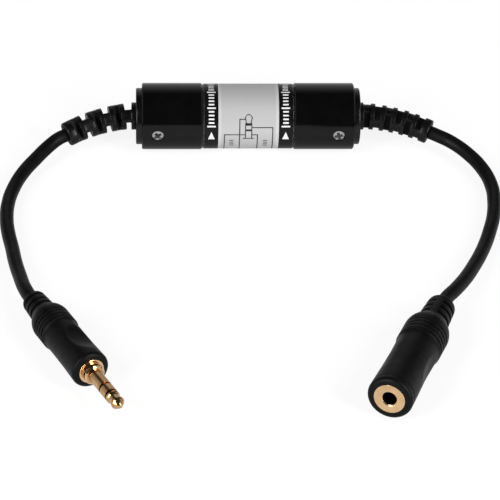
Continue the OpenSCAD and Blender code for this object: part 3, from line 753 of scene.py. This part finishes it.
def build_boot(side, bend, slot_angle, inset, necks, name, node):
    def full(s):
        return BOOT_ROOT_R + (BOOT_TIP_R - BOOT_ROOT_R) * s / BOOT_LEN

    rings = [(-4.5, constant(4.2)), (-4.4, constant(4.4)), (-4.2, constant(4.5)), (-3.0, constant(4.5)),
             (-3.0, constant(NECK_R)), (0.0, constant(NECK_R)), (0.0, constant(3.6)), (0.04, constant(3.67)),
             (0.12, constant(3.7)), (1.05, constant(3.7)), (1.15, constant(3.67)), (1.19, constant(3.6))]
    for k in range(SLOT_COUNT):
        s = FIRST_SLOT + k * SLOT_PITCH
        roll = -slot_angle - BOOT_DROOP + (90 if k % 2 == 0 else 0)

        def cut(phi, s=s, roll=roll, neck=necks[k % 2]):
            c = abs(cosd(phi - roll))
            return min(full(s) - inset, neck / 2 / max(c, 1e-3))

        rings += slot_rings(s - SLOT_W / 2, -1, full, cut, 0.12, 0.3)
        rings += slot_rings(s + SLOT_W / 2, 1, full, cut, 0.12, 0.3)[::-1]
    r1 = full(BOOT_LEN)
    rings += [(BOOT_LEN - 0.35 + 0.35 * sind(a), constant(r1 - 0.35 + 0.35 * cosd(a))) for a in (0, 30, 60, 90)]
    rings.append((BOOT_LEN, constant(1.9)))
    seg = 160
    down = Vector((0, -cosd(BOOT_DROOP), -sind(BOOT_DROOP)))
    points, depths = [], []
    for s, rad in rings:
        x, y, a = boot_point(s, bend)
        depths += [full(s) - rad(360 * k / seg) for k in range(seg)]
        centre = Vector((side * (RING_X1 + x), 0, AXIS_Z)) + y * down
        ey = Vector((side * sind(a), 0, 0)) - cosd(a) * down
        ez = Vector((0, -sind(BOOT_DROOP), cosd(BOOT_DROOP)))
        points.append([centre + rad(360 * k / seg) * (cosd(360 * k / seg) * ey + sind(360 * k / seg) * ez)
                       for k in range(seg)])
    verts, faces = skin(points)
    if side < 0:
        faces = [f[::-1] for f in faces]
    obj = add_piece(name, verts, faces, "relief", sharp=50)
    # Faces deep in the slots take the second material: painted shade for the shadow inside them.
    obj.data.materials.append(MATS["slot"])
    for poly in obj.data.polygons:
        if max(poly.vertices) < len(depths) and min(depths[i] for i in poly.vertices) > inset + 0.25:
            poly.material_index = 1
    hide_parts(node)
    return obj


left_relief = build_boot(-1, LEFT_BEND, LEFT_SLOT, 0.04, (3.5, 2.8), "bend_relief_left", "left_boot")
right_relief = build_boot(1, RIGHT_BEND, RIGHT_SLOT, 0.3, (2.8, 2.8), "bend_relief_right", "right_boot")


# ---------------------------------------------------------------- handles

def flare(r0, s0, r1, s1, steps=24):
    return [(s0 + (s1 - s0) * i / steps, r0 + (r1 - r0) * sind(90 * i / steps)) for i in range(steps + 1)]


def table_radius(points):
    """Radius as a function of station through (station, radius) points."""
    def r(s):
        if s <= points[0][0]:
            return points[0][1]
        for (s0, r0), (s1, r1) in zip(points, points[1:]):
            if s <= s1:
                return r0 + (r1 - r0) * (s - s0) / max(s1 - s0, 1e-9)
        return points[-1][1]
    return r


def facing(phi, middle):
    """Angle between phi and the nearer of two facing directions."""
    d = (phi - middle) % 180
    return min(d, 180 - d)


def build_handle(name, node, place, length, outline, slots, slot_w, slot_r, slot_mid, dimple, grooves, mouth):
    """Handle of a plug or socket. outline is (station, radius), dimple (station, waist radius, depth, big radius,
    middle angle), grooves (station, width, depth), mouth (radius, depth) pairs of the cavity from the face."""
    base = table_radius(outline)
    d_s, d_r, d_depth, d_big, d_mid = dimple

    def body(s, phi):
        r = base(s)
        half = math.sqrt(max(0.0, d_big ** 2 - (d_big - d_depth) ** 2))
        if abs(s - d_s) < half + 2.5:
            x = d_r - d_depth + d_big - math.sqrt(max(0.0, d_big ** 2 - (s - d_s) ** 2))
            c = cosd(facing(phi, d_mid))
            if c > 0.05:
                r = soft_min(r, x / c, 0.22)
        return r

    rings = []
    stations = sorted(set([p[0] for p in outline] + [round(0.5 * i, 3) for i in range(int(2 * length))]))
    blocked = [(s - 0.12, s + slot_w + 0.12) for s in slots]
    blocked += [(s - 0.12, s + w + 0.12) for s, w, d in grooves]
    for s in stations:
        if not any(a < s < b for a, b in blocked):
            rings.append((s, lambda phi, s=s: body(s, phi)))
    for s0 in slots:
        def cut(phi, s0=s0):
            w = smooth((76 - facing(phi, slot_mid)) / 5)
            return base(s0 + slot_w / 2) + (slot_r - base(s0 + slot_w / 2)) * w
        rings += slot_rings(s0, -1, base, cut, 0.1, 0.1)
        rings += slot_rings(s0 + slot_w, 1, base, cut, 0.1, 0.1)[::-1]
    for s0, w, d in grooves:
        def cut(phi, s0=s0, d=d):
            return base(s0) - d
        rings += slot_rings(s0, -1, base, cut, min(0.1, d / 2), 0.06)
        rings += slot_rings(s0 + w, 1, base, cut, min(0.1, d / 2), 0.06)[::-1]
    rings.sort(key=lambda ring: ring[0])
    for r, depth in mouth:
        rings.append((length - depth, constant(r)))
    seg = 192
    points = [[place @ Vector((rad(360 * k / seg) * cosd(360 * k / seg), rad(360 * k / seg) * sind(360 * k / seg), s))
               for k in range(seg)] for s, rad in rings]
    verts, faces = skin(points)
    obj = add_piece(name, verts, faces, "moulded", sharp=50)
    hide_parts(node)
    return obj


def rounded_tail(r, rnd, steps=8):
    return [(rnd - rnd * cosd(90 * i / steps), r - rnd + rnd * sind(90 * i / steps)) for i in range(steps + 1)]


def rounded_face(r, length, rnd, steps=8):
    return [(length - rnd + rnd * sind(90 * i / steps), r - rnd + rnd * cosd(90 * i / steps))
            for i in range(steps + 1)]


plug_outline = (rounded_tail(3.05, 1.2) + flare(3.4, 7.1, PLUG_COLLAR_R, PLUG_COLLAR0)
                + [(16.45, PLUG_COLLAR_R), (16.55, 4.86), (16.6, 4.78), (16.7, 4.68), (17.0, 4.6), (17.4, 4.55),
                   (21.9, 4.55), (27.0, 4.6)] + rounded_face(4.8, PLUG_LEN, 1.0))
plug_handle = build_handle(
    "plug_handle", "plug_grip", PLUG_PLACE, PLUG_LEN, plug_outline, (1.65, 3.8, 5.95), 0.85, 2.2, 120,
    (PLUG_LEN - 8.8, 4.525, 0.9, 14, 72), [(15.5 - 1.25 * i, 0.55, 0.38) for i in range(4)],
    [(2.2, 0.0), (2.2, 9.0), (1.25, 9.0), (1.25, 10.0), (0.95, 10.0), (0.95, 11.0), (0.7, 11.0), (0.7, 12.0),
     (0.45, 12.0), (0.45, 13.0)])

jack_outline = (rounded_tail(3.6, 1.4) + flare(4.1, 9.4, JACK_COLLAR_R, JACK_COLLAR0)
                + [(20.2, JACK_COLLAR_R), (20.3, 5.72), (20.38, 5.65), (20.6, 5.55), (21.1, 5.46), (21.7, 5.4),
                   (33.8, 5.4), (36.0, 5.5)] + rounded_face(5.65, JACK_LEN, 1.0))
jack_handle = build_handle(
    "socket_handle", "jack_grip", JACK_PLACE, JACK_LEN, jack_outline, (2.85, 5.4, 7.95), 1.05, 2.3, 0,
    (JACK_LEN - 15, 5.4, 0.6, 30, 0),
    [(19.3 - 1.45 * i, 0.55, 0.38) for i in range(4)] + [(JACK_LEN - 2.2, 0.3, 0.15)],
    [(3.9, 0.0), (3.9, 1.2), (3.0, 1.2), (3.0, 6.0), (3.9, 6.0), (3.9, 18.0)])


# ---------------------------------------------------------------- plug pin and socket mouth

def turned(name, node, profile, place, mat):
    obj = lathe(name, profile, place, mat, seg=128, sharp=35)
    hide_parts(node)
    return obj


def second_material(obj, place, mat, wanted):
    """Give mat to the faces whose centre, as (radius, station), passes the test."""
    obj.data.materials.append(MATS[mat])
    inverse = place.inverted()
    for poly in obj.data.polygons:
        p = inverse @ (poly.center / MM)
        if wanted(math.hypot(p.x, p.y), p.z):
            poly.material_index = 1


def build_pin():
    face = PLUG_LEN
    stop = face + 2.2
    tip = stop + 14.0
    tip0 = tip - 4.6
    ring0 = tip0 - 0.6 - 2.6
    front = ring0 - 0.6
    sleeve = turned("pin_sleeve", "plug_sleeve_contact",
                    [(1.25, face - 9), (2.2, face - 9), (2.2, face)] + arc(3.1, face + 0.1, 0.1, -90, 0)
                    + arc(3.1, face + 0.2, 0.1, 0, 90) + [(2.4, face + 0.3), (2.4, face + 0.85), (2.58, face + 0.95),
                    (2.62, face + 1.0), (2.62, stop - 0.35), (2.58, stop - 0.3), (2.26, stop - 0.02), (2.22, stop), (1.75, stop), (1.75, front - 0.04), (1.71, front), (1.25, front)],
                    PLUG_PLACE, "plug_gold")
    # Past the shoulder the sleeve, and the ring and tip below, take the darker copy of the gold: painted shade on the
    # pin.
    second_material(sleeve, PLUG_PLACE, "pin_gold_painted_shade", lambda r, s: s > stop - 0.05)
    ring = turned("pin_ring", "plug_ring_contact",
                  [(0.7, face - 11), (0.95, face - 11), (0.95, ring0), (1.71, ring0), (1.75, ring0 + 0.04),
                   (1.75, ring0 + 2.56), (1.71, ring0 + 2.6), (0.7, ring0 + 2.6)], PLUG_PLACE, "pin_gold_painted_shade")
    nose_end = [(1.66, 2.75), (1.68, 2.95), (1.64, 3.1), (1.36, 3.5), (1.02, 3.96), (0.7, 4.34), (0.42, 4.54),
                (0.14, 4.6)]
    tip_piece = turned("pin_tip", "plug_tip_contact",
                       [(0.0, face - 13), (0.45, face - 13), (0.45, tip0), (1.71, tip0), (1.75, tip0 + 0.04)]
                       + [(r, tip0 + s) for r, s in [(1.75, 0.6), (1.72, 0.68), (1.55, 0.9), (1.45, 1.1), (1.42, 1.3),
                                                     (1.43, 1.6), (1.48, 1.95), (1.57, 2.35)] + nose_end]
                       + [(0.0, tip)], PLUG_PLACE, "pin_gold_painted_shade")
    return [sleeve, ring, tip_piece]


def build_mouth():
    face = JACK_LEN
    mouth = turned("socket_mouth", "jack_bushing",
                  [(3.0, face - 6), (3.0, face - 1.2), (3.9, face - 1.2), (3.9, face - 0.06), (3.84, face),
                   (2.04, face), (1.98, face - 0.03), (1.8, face - 0.2), (1.8, face - 0.7), (1.8, face - 6)],
                   JACK_PLACE, "jack_gold")
    # Inside the bore, past the lit rim, the faces take the near-black gold: painted shade.
    second_material(mouth, JACK_PLACE, "bore", lambda r, s: r < 1.9 and s < face - 0.3)
    return mouth


pin_pieces = build_pin()
mouth_piece = build_mouth()


# ---------------------------------------------------------------- leads

def lead_exit(side, bend):
    """End of a relief and the direction there, as the CAD source gives them."""
    x, y, a = FIRST_SLOT, 0.0, 0.0
    for k in range(SLOT_COUNT):
        a = bend[0] + k * bend[1]
        step = SLOT_PITCH if k < SLOT_COUNT - 1 else BOOT_LAST
        x += step * cosd(a)
        y += step * sind(a)
    down = Vector((0, -cosd(BOOT_DROOP), -sind(BOOT_DROOP)))
    return Vector((side * (RING_X1 + x), 0, AXIS_Z)) + y * down, Vector((side * cosd(a), 0, 0)) + sind(a) * down


def build_lead(name, node, side, bend, route, rear, direction):
    start, out = lead_exit(side, bend)
    rear = Vector(rear)
    points = [start, start + 2.4 * out] + [Vector(p) for p in route] + [rear - 3 * direction, rear]
    curve = bpy.data.curves.new(name, "CURVE")
    curve.dimensions = "3D"
    curve.bevel_depth = CABLE_R * MM
    curve.bevel_resolution = 10
    curve.use_fill_caps = True
    curve.resolution_u = 12
    spline = curve.splines.new("BEZIER")
    spline.bezier_points.add(len(points) - 1)
    for b, p in zip(spline.bezier_points, points):
        b.co = p * MM
        b.handle_left_type = "AUTO"
        b.handle_right_type = "AUTO"
    curve.materials.append(MATS["lead"])
    obj = bpy.data.objects.new(name, curve)
    bpy.context.scene.collection.objects.link(obj)
    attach(obj, "root")
    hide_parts(node)
    return obj


build_lead("lead_left", "left_cable", -1, LEFT_BEND, LEFT_ROUTE, PLUG_REAR, PLUG_NOSE)
build_lead("lead_right", "right_cable", 1, RIGHT_BEND, RIGHT_ROUTE, JACK_REAR, JACK_NOSE)


# ---------------------------------------------------------------- floor, lamps and world

def build_floor():
    mesh = bpy.data.meshes.new("floor")
    s = 6.0
    mesh.from_pydata([(-s, -s, 0), (s, -s, 0), (s, s, 0), (-s, s, 0)], [], [(0, 1, 2, 3)])
    floor = bpy.data.objects.new("floor", mesh)
    bpy.context.scene.collection.objects.link(floor)
    mat = bpy.data.materials.new("floor white")
    mat.use_nodes = True
    t = mat.node_tree
    t.nodes.clear()
    out = t.nodes.new("ShaderNodeOutputMaterial")
    diffuse = t.nodes.new("ShaderNodeBsdfDiffuse")
    diffuse.inputs["Color"].default_value = (0.92, 0.92, 0.92, 1)
    soft = t.nodes.new("ShaderNodeBsdfDiffuse")
    soft.inputs["Color"].default_value = (0.2, 0.2, 0.2, 1)
    glow = t.nodes.new("ShaderNodeEmission")
    path = t.nodes.new("ShaderNodeLightPath")
    strength = t.nodes.new("ShaderNodeMix")
    strength.data_type = "FLOAT"
    strength.inputs["B"].default_value = 0.86
    t.links.new(path.outputs["Is Camera Ray"], strength.inputs["Factor"])
    # Painted shadow: in reflections the floor's glow falls from 0.62 to 0.25 within about 21 mm of the barrel's line,
    # standing in for the shade under the object; camera rays see a steady 0.86.
    coords = t.nodes.new("ShaderNodeTexCoord")
    split = t.nodes.new("ShaderNodeSeparateXYZ")
    t.links.new(coords.outputs["Object"], split.inputs[0])
    depth = t.nodes.new("ShaderNodeMath")
    depth.operation = "ABSOLUTE"
    t.links.new(split.outputs["Y"], depth.inputs[0])
    shade = t.nodes.new("ShaderNodeMapRange")
    shade.inputs["From Min"].default_value = 0.007
    shade.inputs["From Max"].default_value = 0.021
    shade.inputs["To Min"].default_value = 0.25
    shade.inputs["To Max"].default_value = 0.62
    t.links.new(depth.outputs[0], shade.inputs["Value"])
    t.links.new(shade.outputs["Result"], strength.inputs["A"])
    t.links.new(strength.outputs["Result"], glow.inputs["Strength"])
    both = t.nodes.new("ShaderNodeAddShader")
    t.links.new(soft.outputs[0], both.inputs[0])
    t.links.new(glow.outputs[0], both.inputs[1])
    seen = path.outputs["Is Camera Ray"]
    for kind in ("Is Glossy Ray", "Is Transmission Ray"):
        either = t.nodes.new("ShaderNodeMath")
        either.operation = "MAXIMUM"
        t.links.new(seen, either.inputs[0])
        t.links.new(path.outputs[kind], either.inputs[1])
        seen = either.outputs[0]
    mix = t.nodes.new("ShaderNodeMixShader")
    t.links.new(seen, mix.inputs["Fac"])
    t.links.new(diffuse.outputs[0], mix.inputs[1])
    t.links.new(both.outputs[0], mix.inputs[2])
    t.links.new(mix.outputs[0], out.inputs["Surface"])
    mesh.materials.append(mat)


def add_lamp(name, place, aim, size, power):
    data = bpy.data.lights.new(name, "AREA")
    data.shape = "RECTANGLE"
    data.size, data.size_y = size
    data.energy = power
    lamp = bpy.data.objects.new(name, data)
    lamp.location = place
    lamp.rotation_euler = (Vector(aim) - Vector(place)).to_track_quat("-Z", "Y").to_euler()
    bpy.context.scene.collection.objects.link(lamp)
    return lamp


def build_world():
    """Studio light by direction: a bright wall behind, softer walls at both sides, dark overhead and in front."""
    world = bpy.data.worlds.new("studio")
    bpy.context.scene.world = world
    world.use_nodes = True
    t = world.node_tree
    bg = t.nodes["Background"]
    coords = t.nodes.new("ShaderNodeTexCoord")
    split = t.nodes.new("ShaderNodeSeparateXYZ")
    t.links.new(coords.outputs["Generated"], split.inputs[0])

    def band(source, start, end, low, high):
        n = t.nodes.new("ShaderNodeMapRange")
        n.interpolation_type = "SMOOTHSTEP"
        n.inputs["From Min"].default_value = start
        n.inputs["From Max"].default_value = end
        n.inputs["To Min"].default_value = low
        n.inputs["To Max"].default_value = high
        t.links.new(source, n.inputs["Value"])
        return n.outputs["Result"]

    def maximum(a, b):
        n = t.nodes.new("ShaderNodeMath")
        n.operation = "MAXIMUM"
        t.links.new(a, n.inputs[0])
        t.links.new(b, n.inputs[1])
        return n.outputs[0]

    aside = t.nodes.new("ShaderNodeMath")
    aside.operation = "ABSOLUTE"
    t.links.new(split.outputs["X"], aside.inputs[0])
    back = t.nodes.new("ShaderNodeMath")
    back.operation = "MULTIPLY"
    t.links.new(band(split.outputs["Y"], 0.4, 0.95, 0.06, 0.62), back.inputs[0])
    t.links.new(band(aside.outputs[0], 0.12, 0.45, 1.0, 0.1), back.inputs[1])
    light = maximum(back.outputs[0], band(aside.outputs[0], 0.5, 0.9, 0.05, 0.52))
    path = t.nodes.new("ShaderNodeLightPath")
    mix = t.nodes.new("ShaderNodeMix")
    mix.data_type = "FLOAT"
    t.links.new(path.outputs["Is Camera Ray"], mix.inputs["Factor"])
    t.links.new(light, mix.inputs["A"])
    mix.inputs["B"].default_value = 1.0
    t.links.new(mix.outputs["Result"], bg.inputs["Strength"])
    bg.inputs["Color"].default_value = (1, 1, 1, 1)


build_floor()
build_world()
add_lamp("key_left", (-0.85, -0.85, 0.48), (0, -0.05, 0), (0.35, 1.2), 15.5)
add_lamp("key_right", (0.85, -0.85, 0.48), (0, -0.05, 0), (0.35, 1.2), 15.5)
bpy.context.scene.view_settings.view_transform = "Standard"
